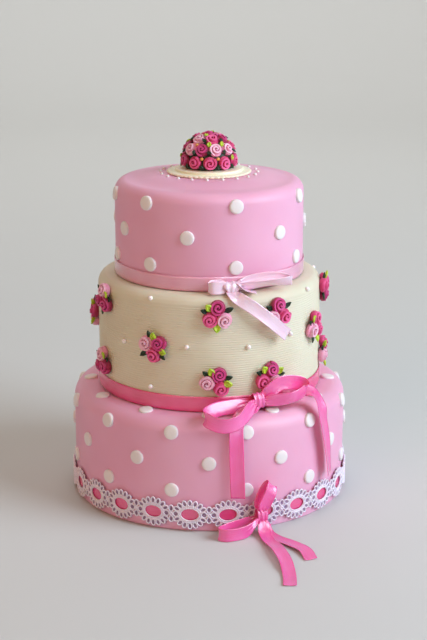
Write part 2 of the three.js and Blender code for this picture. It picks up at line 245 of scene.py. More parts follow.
def turned(profile, steps):
    """A profile of radius and height pairs, in metres, spun round the upright axis"""
    shape = bmesh.new()
    verts = [shape.verts.new((radius, 0, height)) for radius, height in profile]
    edges = [shape.edges.new(pair) for pair in zip(verts, verts[1:])]
    bmesh.ops.spin(shape, geom=verts + edges, cent=(0, 0, 0), axis=(0, 0, 1), angle=tau,
                   steps=steps, use_merge=True)
    bmesh.ops.remove_doubles(shape, verts=shape.verts, dist=WELD)
    bmesh.ops.recalc_face_normals(shape, faces=shape.faces)
    return shape


def wall_place(angle, radius, height):
    """The frame on a wall round the cake: x to the right, y up the wall, z outwards"""
    a = radians(angle)
    right, up, out = Vector((cos(a), sin(a), 0)), Vector((0, 0, 1)), Vector((sin(a), -cos(a), 0))
    place = Matrix((right, up, out)).transposed().to_4x4()
    place.translation = out * radius + up * height
    return place


def arc(centre_radius, centre_height, radius, start, end, steps):
    """Points on a round corner of a profile, from a start to an end angle in degrees"""
    turns = [radians(start + (end - start) * i / steps) for i in range(steps + 1)]
    return [(centre_radius + radius * cos(t), centre_height + radius * sin(t)) for t in turns]


# %% [markdown]
# ## The tiers
#
# Each tier is sponge under rolled icing. The icing falls over the edge in a soft shoulder, which is
# what makes a cake look soft and not like a drum. A profile with that shoulder is spun round the
# axis. A pink tier is then pressed in by up to half a millimetre with slow noise, because a
# perfectly round gloss would look like plastic.

# %% Sizes of the tiers
BOTTOM = {"radius": 117.5 * MM, "foot": 0.0, "top": 95 * MM, "shoulder": 12 * MM, "crown": 0.0}
MIDDLE = {"radius": 95 * MM, "foot": 95.3 * MM, "top": 192.3 * MM, "shoulder": 9 * MM, "crown": 0.0}
TOP = {"radius": 80 * MM, "foot": 192.6 * MM, "top": 272 * MM, "shoulder": 10 * MM, "crown": 4.3 * MM}
CROWN_FLAT = 43 * MM
SUMMIT = TOP["top"] + TOP["crown"]
FOOT_ROUND = 1.5 * MM
FOOT_STEPS, SHOULDER_STEPS, CROWN_STEPS = 3, 12, 9
# How deep and how wide the unevenness of a tier's wall is, in metres
SOFT = {"bottom": (0.5 * MM, 0.045), "top": (0.4 * MM, 0.04)}
CENTRE = 2 * MM
print("height without the dome:", round(SUMMIT / MM, 1), "mm")


def tier_profile(tier, side_steps=24):
    """Underside, rounded foot, side, shoulder and top of a tier"""
    radius, foot, top, shoulder = (tier[k] for k in ("radius", "foot", "top", "shoulder"))
    low, high = foot + FOOT_ROUND, top - shoulder
    points = [(0, foot)] + arc(radius - FOOT_ROUND, low, FOOT_ROUND, -90, 0, FOOT_STEPS)
    points += [(radius, low + (high - low) * i / side_steps) for i in range(1, side_steps)]
    points += arc(radius - shoulder, high, shoulder, 0, 90, SHOULDER_STEPS)
    edge = radius - shoulder
    flat = CROWN_FLAT if tier["crown"] else 0
    for i in range(1, CROWN_STEPS):
        share = i / CROWN_STEPS
        ease = share * share * (3 - 2 * share)
        points.append((edge + (flat - edge) * share, top + tier["crown"] * ease))
    return points + [(flat, top + tier["crown"]), (0, top + tier["crown"])]


def soften(shape, depth, size, seed):
    """Presses a turned shape in towards its axis, a little here and there"""
    for vert in shape.verts:
        reach = hypot(vert.co.x, vert.co.y)
        if reach < CENTRE:
            continue
        press = depth * (0.5 - 0.5 * noise.noise(vert.co / size + Vector((seed, 0, 0))))
        vert.co.xy *= 1 - press / reach


# %% [markdown]
# ## Polka dots
#
# The dots are cut from rolled white paste with a round cutter, which pulls their edge down, so
# each has a rounded rim and an almost flat face. One dot is spun from such a profile and stamped
# onto the wall in rows. On the shoulder a dot leans back, and on the ledge it lies flat.
#
# Heights and radii are in millimetres here, and angles and slopes in degrees.

# %% The dots
DOTS_IN_ROW = 12
# A row on the bottom tier: height, radius, slope, and angle of its first dot
LOW_ROWS = [(84.5, 117.5, 10, 15), (59, 117.5, 0, 0), (35, 117.5, 0, 15), (95, 103.2, 84, 0)]
# A row on the top tier: height, slope, and the angles of its dots
HIGH_ROWS = [
    (262, 8, [-76, -39, 16, 68, 112, 158, -158, -117]),
    (236.5, 0, [-60, -12.6, 46, 86.5, 131, 177, -138, -99]),
    (211.8, 0, [-72, -36.6, 15.8, 64, 110, 156, -159, -115]),
]
DOT_PROFILE = [
    (0, -1.5), (5.9, -1.5), (5.95, 0.2), (5.85, 0.9), (5.5, 1.45), (4.8, 1.75), (3, 1.92), (0, 2),
]
DOT = as_mesh("dot", turned([(r * MM, z * MM) for r, z in DOT_PROFILE], 32))
print("dot:", len(DOT.polygons), "faces")


def stamp_dot(shape, angle, radius, height, slope):
    """A dot on the wall, with its place in millimetres. The slope leans it back."""
    lean = Matrix.Rotation(-radians(slope), 4, "X")
    stamp(shape, DOT, wall_place(angle, radius * MM, height * MM) @ lean)


# %% The bottom tier
body = turned(tier_profile(BOTTOM), 160)
soften(body, *SOFT["bottom"], 1)
finish_piece("bottom_tier_icing", body, [PINK_PASTE], ["bottom_tier"])

dots = bmesh.new()
for height, radius, slope, first in LOW_ROWS:
    for i in range(DOTS_IN_ROW):
        stamp_dot(dots, first + 360 / DOTS_IN_ROW * i, radius, height, slope)
finish_piece("bottom_tier_dots", dots, [WHITE_PASTE])

# %% The top tier
body = turned(tier_profile(TOP), 144)
soften(body, *SOFT["top"], 2)
finish_piece("top_tier_icing", body, [PINK_PASTE], ["top_tier"])

dots = bmesh.new()
for height, slope, angles in HIGH_ROWS:
    for angle in angles:
        stamp_dot(dots, angle, TOP["radius"] / MM, height, slope)
finish_piece("top_tier_dots", dots, [WHITE_PASTE])

# %% [markdown]
# ## The ribbed cream tier
#
# The cream icing was combed: fine level ribs run round it, a little unsteady as the hand was. They
# are fine enough for a bump, but a bump vanishes at the outline, so they are modelled. The wall gets
# four rows of faces for each rib, and each point moves out or in by a wave of its distance along the
# wall, with slow noise added to that distance.

# %% The middle tier
RIB = {"pitch": 1.9 * MM, "depth": 0.34 * MM, "patch": 0.011, "rows": 4}
RIB_WOBBLE = {"reach": 0.7 * MM, "size": 0.03}


def along_wall(tier, reach, height):
    """The way up the side, over the shoulder and in over the top, to a point of the profile"""
    high, inner = tier["top"] - tier["shoulder"], tier["radius"] - tier["shoulder"]
    if height <= high:
        return height
    if reach <= inner:
        return high + tier["shoulder"] * pi / 2 + inner - reach
    return high + tier["shoulder"] * atan2(height - high, reach - inner)


def combed(shape, tier):
    """Moves each point of the wall by the wave of the ribs, but not the foot and the flat top"""
    shape.normal_update()
    inner = tier["radius"] - tier["shoulder"] - RIB["pitch"]
    lowest = tier["foot"] + 2 * FOOT_ROUND
    for vert in shape.verts:
        reach = hypot(vert.co.x, vert.co.y)
        way = along_wall(tier, reach, vert.co.z)
        if reach < inner or way < lowest:
            continue
        way += RIB_WOBBLE["reach"] * noise.noise(vert.co / RIB_WOBBLE["size"])
        depth = RIB["depth"] * (0.75 + 0.5 * noise.noise(vert.co / RIB["patch"]))
        vert.co -= vert.normal * depth * (0.5 - 0.5 * cos(tau * way / RIB["pitch"]))


side_rows = ceil(RIB["rows"] * (MIDDLE["top"] - MIDDLE["foot"]) / RIB["pitch"])
body = turned(tier_profile(MIDDLE, side_rows), 180)
combed(body, MIDDLE)
finish_piece("middle_tier_icing", body, [CREAM_PASTE], ["middle_tier"], 0)

# %% [markdown]
# Small sugar pearls sit between the rose clusters, each sunk by a third into the icing. They are
# plain balls, and the gloss of a pearl comes from a coat over a slightly rough ball.

# %% The pearls
PEARL = {"radius": 2 * MM, "proud": 0.8 * MM}
# Angle round the cake and height in millimetres
PEARL_PLACES = [
    (-30, 188), (-10.8, 150.4), (-30, 113.5), (19.6, 149.3), (44.3, 154.3), (59, 187),
    (-47, 147), (107, 187), (138, 148), (-160, 148),
]
pearl_sugar, _ = new_finish(
    "sugar_pearl", Base_Color=linear(250, 240, 238), Roughness=0.3,
    Coat_Weight=0.8, Coat_Roughness=0.12, Subsurface_Weight=0.2, Subsurface_Scale=0.002,
)


def ball_mesh(name, radius, rings=8):
    shape = bmesh.new()
    bmesh.ops.create_uvsphere(shape, u_segments=2 * rings, v_segments=rings, radius=radius)
    return as_mesh(name, shape)


def shoulder_reach(tier, height):
    """How far the wall of a tier reaches from the axis at a height"""
    rise = max(0.0, height - (tier["top"] - tier["shoulder"]))
    return tier["radius"] - tier["shoulder"] + (tier["shoulder"] ** 2 - rise**2) ** 0.5


pearl = ball_mesh("pearl", PEARL["radius"])
pearls = bmesh.new()
for angle, height in PEARL_PLACES:
    reach = shoulder_reach(MIDDLE, height * MM) + PEARL["proud"]
    stamp(pearls, pearl, wall_place(angle, reach, height * MM))
finish_piece("middle_tier_pearls", pearls, [pearl_sugar])

# %% [markdown]
# ## The plaque on top
#
# A thin cream disc with a beaded rim carries a second, smaller one. Both are spun. The beads on the
# rim come from moving the rim's points in and out round the disc, and a ring of piped icing
# dots lies round it.

# %% The plaque and the ring of icing dots
# The plaque's sizes in millimetres
PLAQUE = {"radius": 35.7, "rim": 1.7, "step": 28.5, "height": 4.0, "beads": 48, "scallop": 0.8}
GAP = 0.3 * MM
ICING_DOT = {"radius": 1.4 * MM, "ring": 41 * MM, "count": 20, "first": -2, "proud": 0.4 * MM}
PLAQUE_FOOT = SUMMIT + GAP

radius, rim, step, height = (PLAQUE[k] for k in ("radius", "rim", "step", "height"))
profile = [
    (0, 0), (radius - 0.6, 0), (radius, 0.5), (radius, 1.1), (radius - 0.6, rim),
    (step + 1.4, rim), (step + 0.5, rim + 0.3), (step + 0.3, height - 0.9),
]
profile += arc(step - 0.6, height - 0.8, 0.8, 10, 90, 4) + [(0, height)]
disc = turned([(r * MM, z * MM) for r, z in profile], PLAQUE["beads"] * 4)
for vert in disc.verts:
    reach = hypot(vert.co.x, vert.co.y)
    if reach > (radius - 1) * MM:
        turn = atan2(vert.co.y, vert.co.x)
        vert.co.xy *= 1 - PLAQUE["scallop"] / radius * (1 - abs(sin(turn * PLAQUE["beads"] / 2)))
bmesh.ops.translate(disc, vec=(0, 0, PLAQUE_FOOT), verts=disc.verts)
finish_piece("plaque_disc", disc, [PLAQUE_PASTE], ["plaque"])

bead = ball_mesh("bead", ICING_DOT["radius"], 6)
beads = bmesh.new()
for i in range(ICING_DOT["count"]):
    angle = ICING_DOT["first"] + 360 / ICING_DOT["count"] * i
    stamp(beads, bead, wall_place(angle, ICING_DOT["ring"], SUMMIT + ICING_DOT["proud"]))
finish_piece("top_icing_dots", beads, [WHITE_PASTE])

# %% [markdown]
# ## Sugar roses
#
# A small sugar rose is a strip of paste rolled up from one end. From the front it shows as a
# spiral of thick lips with dark grooves between them, and from the side as a rounded cup. So a flat
# grid is bent into that roll: along the grid it winds outwards while its top edge sinks, and across
# it the strip bellies out. It is then given the thickness of rolled paste. A small bowl of the
# same paste closes the grooves at the bottom.
#
# Each point remembers how near it is to a lip. The finish reads that and paints shade: paler on
# the lips, and darker lower down the strip, deep in the grooves.

# %% A rolled rose
ROLL_STEPS = 58
ROLL_ROWS = 5
PASTE = 0.23
RIM = {"sharper_than": radians(60), "share": 0.4}
BOWL = [(0, 0), (0.72, 0), (0.92, 0.22), (0.9, 0.42), (0.6, 0.6), (0, 0.72)]


def rose_mesh(name, radius, height, turns, seed):
    """A rose that stands on z = 0, with the strip's thickness as a share of its radius"""
    shape = bmesh.new()
    lip = shape.verts.layers.float.new("lip")
    grid = bmesh.ops.create_grid(shape, x_segments=ROLL_STEPS, y_segments=ROLL_ROWS, size=1)
    for vert in grid["verts"]:
        wound, up = (vert.co.x + 1) / 2, (vert.co.y + 1) / 2
        turn = tau * turns * wound + seed
        sway = 0.05 * noise.noise(Vector((turn * 0.9, seed, 0)))
        reach = radius * (0.08 + (0.9 + sway) * wound**0.9)
        crown = height * (1 - 0.32 * wound**1.7 + 0.05 * sin(2.5 * turn) * wound)
        belly = 0.80 + 0.26 * sin(pi * min(up, 0.8) / 1.15) - 0.05 * up**4
        rise = height * 0.04 + crown * 0.96 * up
        vert.co = (reach * belly * cos(turn), reach * belly * sin(turn), rise)
        # How near the lip: where this is low, the finish paints shade for the grooves
        vert[lip] = up**3
    bmesh.ops.recalc_face_normals(shape, faces=shape.faces)
    bmesh.ops.solidify(shape, geom=list(shape.faces), thickness=PASTE * radius)
    rims = [edge for edge in shape.edges if edge.calc_face_angle(0) > RIM["sharper_than"]]
    bmesh.ops.bevel(shape, geom=rims, offset=RIM["share"] * PASTE * radius, segments=2,
                    affect="EDGES", clamp_overlap=True)
    bowl = turned([(r * radius, z * height) for r, z in BOWL], 16)
    stamp(shape, as_mesh("bowl", bowl), Matrix())
    return as_mesh(name, shape)


DULLED = 0.88


def flower_paste(name, lips, groove_shade):
    material, shader = new_finish(
        name, Roughness=0.55, Subsurface_Weight=0.08, Subsurface_Scale=0.002,
        Sheen_Weight=0.15, Sheen_Roughness=0.5,
    )
    near_lip = node(material, "Attribute", attribute_name="lip").outputs["Fac"]
    tint = ramp(material, cloud(material, 0.004), 0.2, 0.8)
    dulled = tuple(DULLED * c for c in lips[:3]) + (1,)
    worn = blend_colours(material, tint, lips, dulled)
    # Painted shade: the colour turns from the lips' colour to the darker groove colour lower down the
    # strip
    colour = blend_colours(material, ramp(material, near_lip, 0.1, 0.9), groove_shade, worn)
    join(material, colour, shader, "Base Color")
    relief(material, shader, cloud(material, 0.0007), 0.0001, 0.4)
    return material


# Each paste: the lips' colour, then the darker colour painted as shade in the grooves
MAGENTA = flower_paste("magenta_flower_paste", linear(214, 60, 136), linear(160, 10, 72))
ROSE_PINK = flower_paste("pink_flower_paste", linear(244, 98, 160), linear(206, 34, 104))
PALE_PINK = flower_paste("pale_flower_paste", linear(252, 196, 218), linear(240, 156, 188))


def rose_set(name, radius, height, rolls):
    """Roses of one size that differ in their turns and in where the roll starts"""
    return [rose_mesh(f"{name}_{i}", radius, height, *roll) for i, roll in enumerate(rolls)]


ROSES = rose_set("rose", 6.9 * MM, 7.8 * MM, [(2.3, 0.3), (2.05, 2.1), (2.4, 4.0)])
print("rose:", len(ROSES[0].polygons), "faces")

# %% [markdown]
# ## Leaves
#
# Between the roses stick out small pointed leaves, lime and dark green. A leaf is a grid drawn in
# to a point at both ends, cupped across, with a crease down its middle and a slightly wavy edge,
# and then given the thickness of paste.

# %% A leaf and its two greens
def leaf_mesh(name, length, width, thickness, curl):
    """A leaf that starts at the origin and points along x, its face up"""
    shape = bmesh.new()
    grid = bmesh.ops.create_grid(shape, x_segments=9, y_segments=6, size=1)
    for vert in grid["verts"]:
        along, across = (vert.co.x + 1) / 2, vert.co.y
        half = width / 2 * (sin(pi * along**0.9) ** 0.7 * 0.98 + 0.02)
        cup = 0.26 * width * across**2 * sin(pi * along)
        wave = 0.05 * width * sin(9 * along) * abs(across)
        rise = curl * length * along**2
        vert.co = (length * along, half * across, thickness + cup + wave + rise)
    bmesh.ops.recalc_face_normals(shape, faces=shape.faces)
    bmesh.ops.solidify(shape, geom=list(shape.faces), thickness=thickness)
    return as_mesh(name, shape)


def leaf_paste(name, light, dark):
    material, shader = new_finish(name, Roughness=0.5, Subsurface_Weight=0.05, Subsurface_Scale=0.002)
    streaks = ramp(material, cloud(material, 0.003), 0.3, 0.7)
    join(material, blend_colours(material, streaks, light, dark), shader, "Base Color")
    relief(material, shader, cloud(material, 0.0009), 0.00015, 0.5)
    return material


LIME = leaf_paste("lime_leaf_paste", linear(202, 228, 60), linear(158, 198, 34))
GREEN = leaf_paste("green_leaf_paste", linear(22, 62, 28), linear(8, 32, 14))
LIME_LEAF = leaf_mesh("lime_leaf", 8.4 * MM, 6.2 * MM, 1.3 * MM, 0.1)
GREEN_LEAF = leaf_mesh("green_leaf", 8.6 * MM, 4.6 * MM, 1.1 * MM, 0.08)
print("leaf:", len(LIME_LEAF.polygons), "faces")

# %% [markdown]
# ## Rose clusters
#
# Three roses lean on each other on the cream wall, with leaves in the corners between them. Each
# cluster is a piece of its own. The list gives its angle round the cake, its height and how far it
# is turned, then which roses it has: m for magenta, p for pink and w for pale, from the first rose
# round. The last words give the leaves in each corner, in the same sense round: l for a lime one
# and d for a dark one, and a dash for none.

# %% The clusters
CLUSTERS = [
    (-63, 178, 80, "wmm", "d d dl"), (4, 177.5, 87, "mpw", "ld l d"),
    (35, 175.2, 90, "mwp", "d - d"), (86, 179, 40, "ppm", "ld d dl"),
    (-92, 154, 20, "mmw", "ld d l"), (-27.6, 148, 35, "mwp", "ld d dl"),
    (64.5, 153.5, 80, "pwp", "ld dl -"), (-66, 121.8, 95, "wmm", "d - dl"),
    (3.3, 121.8, 66, "mwp", "ld - ld"), (30.4, 121.8, 80, "mpw", "ld - dl"),
    (86, 121.8, 80, "pwm", "ld l d"), (116, 152, 35, "mpw", "ld d dl"),
    (146, 178, 70, "pwm", "d ld ld"), (150, 121.8, 15, "mwp", "ld d l"),
    (178, 152, 95, "mpw", "ld d dl"), (-152, 178, 20, "pwm", "d dl ld"),
    (-122, 121.8, 60, "mwp", "ld l d"),
]
ROSE_SPREAD = 6.3 * MM
ROSE_LEAN = 9
ROSE_TWIST = 67
ROSE_STANDS = 0.1 * MM
ROSE_EDGES = 50
LEAF_CORNERS = [60, 180, 300]
LEAF_START = 6.2 * MM
LEAF_PAIR = 13
LEAF_LIFT = 0.4 * MM
PASTES = [MAGENTA, ROSE_PINK, PALE_PINK, LIME, GREEN]
PASTE_OF = {"m": 0, "p": 1, "w": 2, "l": 3, "d": 4}
LEAF_OF = {"l": (LIME_LEAF, 14, 1.2 * MM), "d": (GREEN_LEAF, 6, LEAF_LIFT)}


def spin_z(angle):
    return Matrix.Rotation(radians(angle), 4, "Z")


def stamp_leaf(shape, leaf, material, place, direction, start, tilt, lift=LEAF_LIFT):
    """A leaf that points away from the middle of a cluster, its tip raised by the tilt"""
    raised = Matrix.Rotation(-radians(tilt), 4, "Y")
    spot = spin_z(direction) @ Matrix.Translation((start, 0, lift)) @ raised
    stamp(shape, leaf, place @ spot, material)


def cluster_shape(place, turn, roses, leaves, seed):
    """Three roses round the place and the leaves in their corners. A corner with - has no leaf."""
    shape = bmesh.new()
    shape.verts.layers.float.new("lip")
    lean = Matrix.Rotation(radians(ROSE_LEAN), 4, "Y")
    for i, kind in enumerate(roses):
        spot = spin_z(turn + 360 / len(roses) * i) @ Matrix.Translation((ROSE_SPREAD, 0, 0)) @ lean
        twist = spin_z(ROSE_TWIST * (seed + i))
        stamp(shape, ROSES[(seed + i) % len(ROSES)], place @ spot @ twist, PASTE_OF[kind])
    for corner, kinds in zip(LEAF_CORNERS, leaves.replace("-", "").split(" ")):
        for j, kind in enumerate(kinds):
            direction = turn + corner + LEAF_PAIR * (2 * j + 1 - len(kinds))
            leaf, tilt, lift = LEAF_OF[kind]
            stamp_leaf(shape, leaf, PASTE_OF[kind], place, direction, LEAF_START, tilt, lift)
    return shape


for i, (angle, height, turn, roses, leaves) in enumerate(CLUSTERS):
    place = wall_place(angle, MIDDLE["radius"] + ROSE_STANDS, height * MM)
    shape = cluster_shape(place, turn, roses, leaves, i)
    number = f"{i + 1:02d}"
    stands_for = [f"rose_cluster_{number}"]
    finish_piece(f"roses_{number}", shape, PASTES, stands_for, ROSE_EDGES)

# %% [markdown]
# ## The dome of roses
#
# On the plaque stands a dome packed with the same roses, a little smaller. A dark green core shows
# only in the gaps. Rings of roses climb over it, and in the gaps between them sit lime leaves, dark
# leaves and small orange buds.

# %% The dome
DOME = {"foot": 6 * MM, "radius": 20.9 * MM, "height": 20.6 * MM, "sunk": 2.8 * MM}
DOME_FOOT = PLAQUE_FOOT + PLAQUE["height"] * MM + GAP
CORE_SUNK = 1 * MM
# A ring of roses: count, climb and angle of the first in degrees, and the kinds
DOME_RINGS = [
    (10, 0, 2, "pppmmwpmmp"), (10, 31, 18, "wwpmmpwmwm"), (6, 60, 14, "pmwpmw"), (1, 90, 0, "m"),
]
DOME_TWIST = 83
BIT_START = -2 * MM
DOME_ROSES = rose_set("dome_rose", 6.1 * MM, 6.6 * MM, [(2.0, 0.8), (2.2, 3.1), (1.9, 5.0)])
ORANGE = leaf_paste("orange_bud_paste", linear(232, 170, 84), linear(214, 140, 60))


def dome_place(angle, climb, lift):
    """A place on the dome: z stands off it, y runs up it"""
    up = radians(climb)
    spot = Matrix.Translation((0, -DOME["radius"] * cos(up), DOME["foot"] + DOME["height"] * sin(up)))
    stand = Matrix.Rotation(pi / 2 - up, 4, "X") @ Matrix.Translation((0, 0, lift))
    return Matrix.Translation((0, 0, DOME_FOOT)) @ spin_z(angle) @ spot @ stand


core_radius, core_height = DOME["radius"] - CORE_SUNK, DOME["height"] - CORE_SUNK
core_profile = [(0, 0), (core_radius, 0)]
for degrees_up in range(0, 90, 10):
    up = radians(degrees_up)
    core_profile.append((core_radius * cos(up), DOME["foot"] + core_height * sin(up)))
core_profile.append((0, DOME["foot"] + core_height))
dome = turned(core_profile, 32)
bmesh.ops.translate(dome, vec=(0, 0, DOME_FOOT), verts=dome.verts)
for face in dome.faces:
    face.material_index = PASTE_OF["d"]
dome.verts.layers.float.new("lip")
for ring, (count, climb, first, kinds) in enumerate(DOME_RINGS):
    for i in range(count):
        place = dome_place(first + 360 / count * i, climb, -DOME["sunk"]) @ spin_z(DOME_TWIST * i)
        stamp(dome, DOME_ROSES[(ring + i) % len(DOME_ROSES)], place, PASTE_OF[kinds[i]])

# The gaps lie between the roses of a ring, in all rings but the topmost
bud = ball_mesh("bud", 1.5 * MM, 5)
lime_bit = leaf_mesh("lime_bit", 4.8 * MM, 3.8 * MM, 1.1 * MM, 0.2)
green_bit = leaf_mesh("green_bit", 4.8 * MM, 3.2 * MM, 1 * MM, 0.1)
for ring, (count, climb, first, _) in enumerate(DOME_RINGS[:-1]):
    for i in range(count):
        angle = first + 360 / count * (i + 0.5)
        kind = (ring + i) % 3
        if kind == 0:
            stamp(dome, bud, dome_place(angle, climb + 10, 1.3 * MM), len(PASTES))
        elif kind == 1:
            place = dome_place(angle, climb + 10, 0.2 * MM)
            stamp_leaf(dome, lime_bit, PASTE_OF["l"], place, 70 + 40 * i, BIT_START, 4)
        place = dome_place(angle, climb - 8, 0)
        stamp_leaf(dome, green_bit, PASTE_OF["d"], place, 250 + 50 * i, BIT_START, 10)
finish_piece("dome_of_roses", dome, PASTES + [ORANGE], ["rose_dome"], ROSE_EDGES)

# %% [markdown]
# ## Satin
#
# Satin ribbon shines because its long threads lie side by side on the face: the gloss is wide across
# the threads and narrow along them. An anisotropic gloss does that, and it needs to know which way
# the threads run, so every ribbon gets a UV map that follows it, in metres: the first coordinate
# runs along the ribbon and the second across it. A very fine relief of threads across the width and
# a rim of denser threads at both edges come from the same map.

# %% Satin in two pinks
THREAD = 0.35 * MM
SELVEDGE = 0.9 * MM
STREAKS = (60, 2600, 1)


def satin(name, face, shade, width):
    """Satin of one width, in metres, so that the rims lie at its edges"""
    material, shader = new_finish(
        name, Roughness=0.27, Anisotropic=0.75, Anisotropic_Rotation=0.25,
        Specular_IOR_Level=1.0, IOR=1.6, Sheen_Weight=0.3, Sheen_Roughness=0.3,
        Coat_Weight=0.8, Coat_Roughness=0.2, Coat_IOR=1.7,
        Subsurface_Weight=0.25, Subsurface_Scale=0.002,
    )
    uv = node(material, "UVMap", uv_map="ribbon").outputs["UV"]
    split = node(material, "SeparateXYZ", {"Vector": uv})
    streaks = node(material, "Mapping", {"Vector": uv, "Scale": STREAKS})
    streak = ramp(material, cloud(material, 1.0, 2, streaks.outputs["Vector"]), 0.3, 0.7)
    slow = ramp(material, cloud(material, 0.02, 1), 0.3, 0.7)
    base = blend_colours(material, slow, face, shade)
    streaked = blend_colours(material, streak, shade, face)
    thread_tone = blend_colours(material, streak, base, streaked)
    middle = node(material, "Math", {0: split.outputs["Y"], 1: width / 2}, operation="SUBTRACT")
    off = node(material, "Math", {0: middle.outputs[0]}, operation="ABSOLUTE")
    rim = ramp(material, off.outputs[0], width / 2 - SELVEDGE, width / 2 - SELVEDGE / 2)
    join(material, blend_colours(material, rim, thread_tone, shade), shader, "Base Color")
    threads = node(material, "Math", {0: split.outputs["X"], 1: tau / THREAD}, operation="MULTIPLY")
    wave = node(material, "Math", {0: threads.outputs[0]}, operation="SINE")
    raised = node(material, "Math", {0: rim, 1: 3.0, 2: wave.outputs[0]}, operation="MULTIPLY_ADD")
    relief(material, shader, raised.outputs[0], 0.00004, 0.5)
    along = node(material, "Tangent", direction_type="UV_MAP", uv_map="ribbon").outputs["Tangent"]
    join(material, along, shader, "Tangent")
    return material


HOT = (linear(255, 74, 150), linear(244, 48, 124))
PALE = (linear(252, 180, 208), linear(244, 158, 190))
print("satin: a thread is", THREAD / MM, "mm and the rim", SELVEDGE / MM, "mm")

# %% [markdown]
# ## The flat ribbons round the tiers
#
# A ribbon goes round the foot of each tier. The one on the bottom tier shows only through the lace.
# Each is a grid bent round the tier, closed at the back, and given a thickness by the Solidify
# modifier. It lies a little in and out along its top edge, as a taut ribbon does on a soft wall.

# %% The flat ribbons
RIBBON_THICKNESS = 0.35 * MM
# Sizes in millimetres: half of the solid's thickness and its gap from the icing set the middle
BAND = {"middle": 0.65, "top_width": 12, "middle_width": 13, "lift": 0.4, "loose": 0.22}
LACE_RIBBON = {"foot": 9.5, "width": 11.5}


def give_thickness(piece):
    solid = piece.modifiers.new("thickness", "SOLIDIFY")
    solid.thickness = RIBBON_THICKNESS
    solid.offset = 0


def map_ribbon(shape, places):
    """Writes the way along and across the ribbon, in metres, into its UV map"""
    ribbon = shape.loops.layers.uv.new("ribbon")
    for face in shape.faces:
        for loop in face.loops:
            loop[ribbon].uv = places[loop.vert]


def flat_ribbon(name, tier_radius, foot, width, material, stands_for, seed):
    """A ribbon once round a tier, its sizes in millimetres"""
    shape = bmesh.new()
    grid = bmesh.ops.create_grid(shape, x_segments=216, y_segments=6, size=1)
    places = {}
    for vert in grid["verts"]:
        turn, up = pi * (vert.co.x + 1), (vert.co.y + 1) / 2
        places[vert] = (turn * tier_radius * MM, up * width * MM)
        loose = noise.noise(Vector((5 * cos(turn), 5 * sin(turn), seed + 2 * up)))
        reach = (tier_radius + BAND["middle"] + BAND["loose"] * loose) * MM
        vert.co = (reach * sin(turn), reach * cos(turn), (foot + width * up) * MM)
    map_ribbon(shape, places)
    bmesh.ops.remove_doubles(shape, verts=shape.verts, dist=SEAM_WELD)
    bmesh.ops.recalc_face_normals(shape, faces=shape.faces)
    give_thickness(finish_piece(name, shape, [material], stands_for))


pale_12 = satin("pale_satin_12", *PALE, BAND["top_width"] * MM)
flat_ribbon("top_flat_ribbon", TOP["radius"] / MM, TOP["foot"] / MM + BAND["lift"],
            BAND["top_width"], pale_12, ["top_ribbon"], 1)
hot_13 = satin("hot_satin_13", *HOT, BAND["middle_width"] * MM)
flat_ribbon("middle_flat_ribbon", MIDDLE["radius"] / MM, MIDDLE["foot"] / MM + BAND["lift"],
            BAND["middle_width"], hot_13, ["middle_ribbon"], 2)
hot_11 = satin("hot_satin_11", *HOT, LACE_RIBBON["width"] * MM)
flat_ribbon("lace_flat_ribbon", BOTTOM["radius"] / MM, LACE_RIBBON["foot"],
            LACE_RIBBON["width"], hot_11, ["lace_ribbon"], 3)

# %% [markdown]
# ## The bows
#
# A bow is one ribbon: loops that leave the knot and come back, and tails that hang or lie. Each
# stretch is a grid bent along a route. The route is a smooth curve through stops given in
# the bow's own frame on the wall (to the right, height above the table, outwards from the wall, in
# millimetres), and each stop also says which way the ribbon's width points there.
#
# Where the ribbon enters the knot it is gathered: it gets narrower and folds into small pleats,
# which fade out over the first fifth of the stretch. Along the rest it swells and dips a little, so
# that its gloss breaks into the soft light and dark bands of real satin. A loop's tip can be drawn
# in too, as the pale bow's are.

# %% Ribbon along a route
GATHERED_LOOP = 0.4
TIP_REACH = 0.16
GATHER_END = 0.18
PLEATS = 3
PLEAT_DEPTH = 0.9 * MM
ACROSS = 12
CUP = 0.06
RIPPLE = {"height": 0.5 * MM, "size": 14 * MM}
FACE_LENGTH = 0.9 * MM
LENGTH_STEPS = 60
TANGENT_REACH = 0.004
BOW_ANGLE = {"top": 12.6, "middle": 23, "low": 20}
BOW_WIDTH = {"top": 10.6, "middle": 12, "low": 10.5}
print("bow ribbons, in millimetres:", BOW_WIDTH)


def smooth_between(value, low, high):
    """Runs softly from 0 to 1 as the value goes from low to high"""
    share = min(1.0, max(0.0, (value - low) / (high - low)))
    return share * share * (3 - 2 * share)


def through(stops, t):
    """A point at share t of a smooth curve through the stops, with even stretches between them"""
    last = len(stops) - 1
    k = min(int(t * last), last - 1)
    u = t * last - k
    a = stops[k - 1] if k > 0 else 2 * stops[0] - stops[1]
    b, c = stops[k], stops[k + 1]
    d = stops[k + 2] if k + 2 <= last else 2 * stops[last] - stops[last - 1]
    bend = (2 * a - 5 * b + 4 * c - d) * u**2 + (3 * (b - c) + d - a) * u**3
    return 0.5 * (2 * b + (c - a) * u + bend)


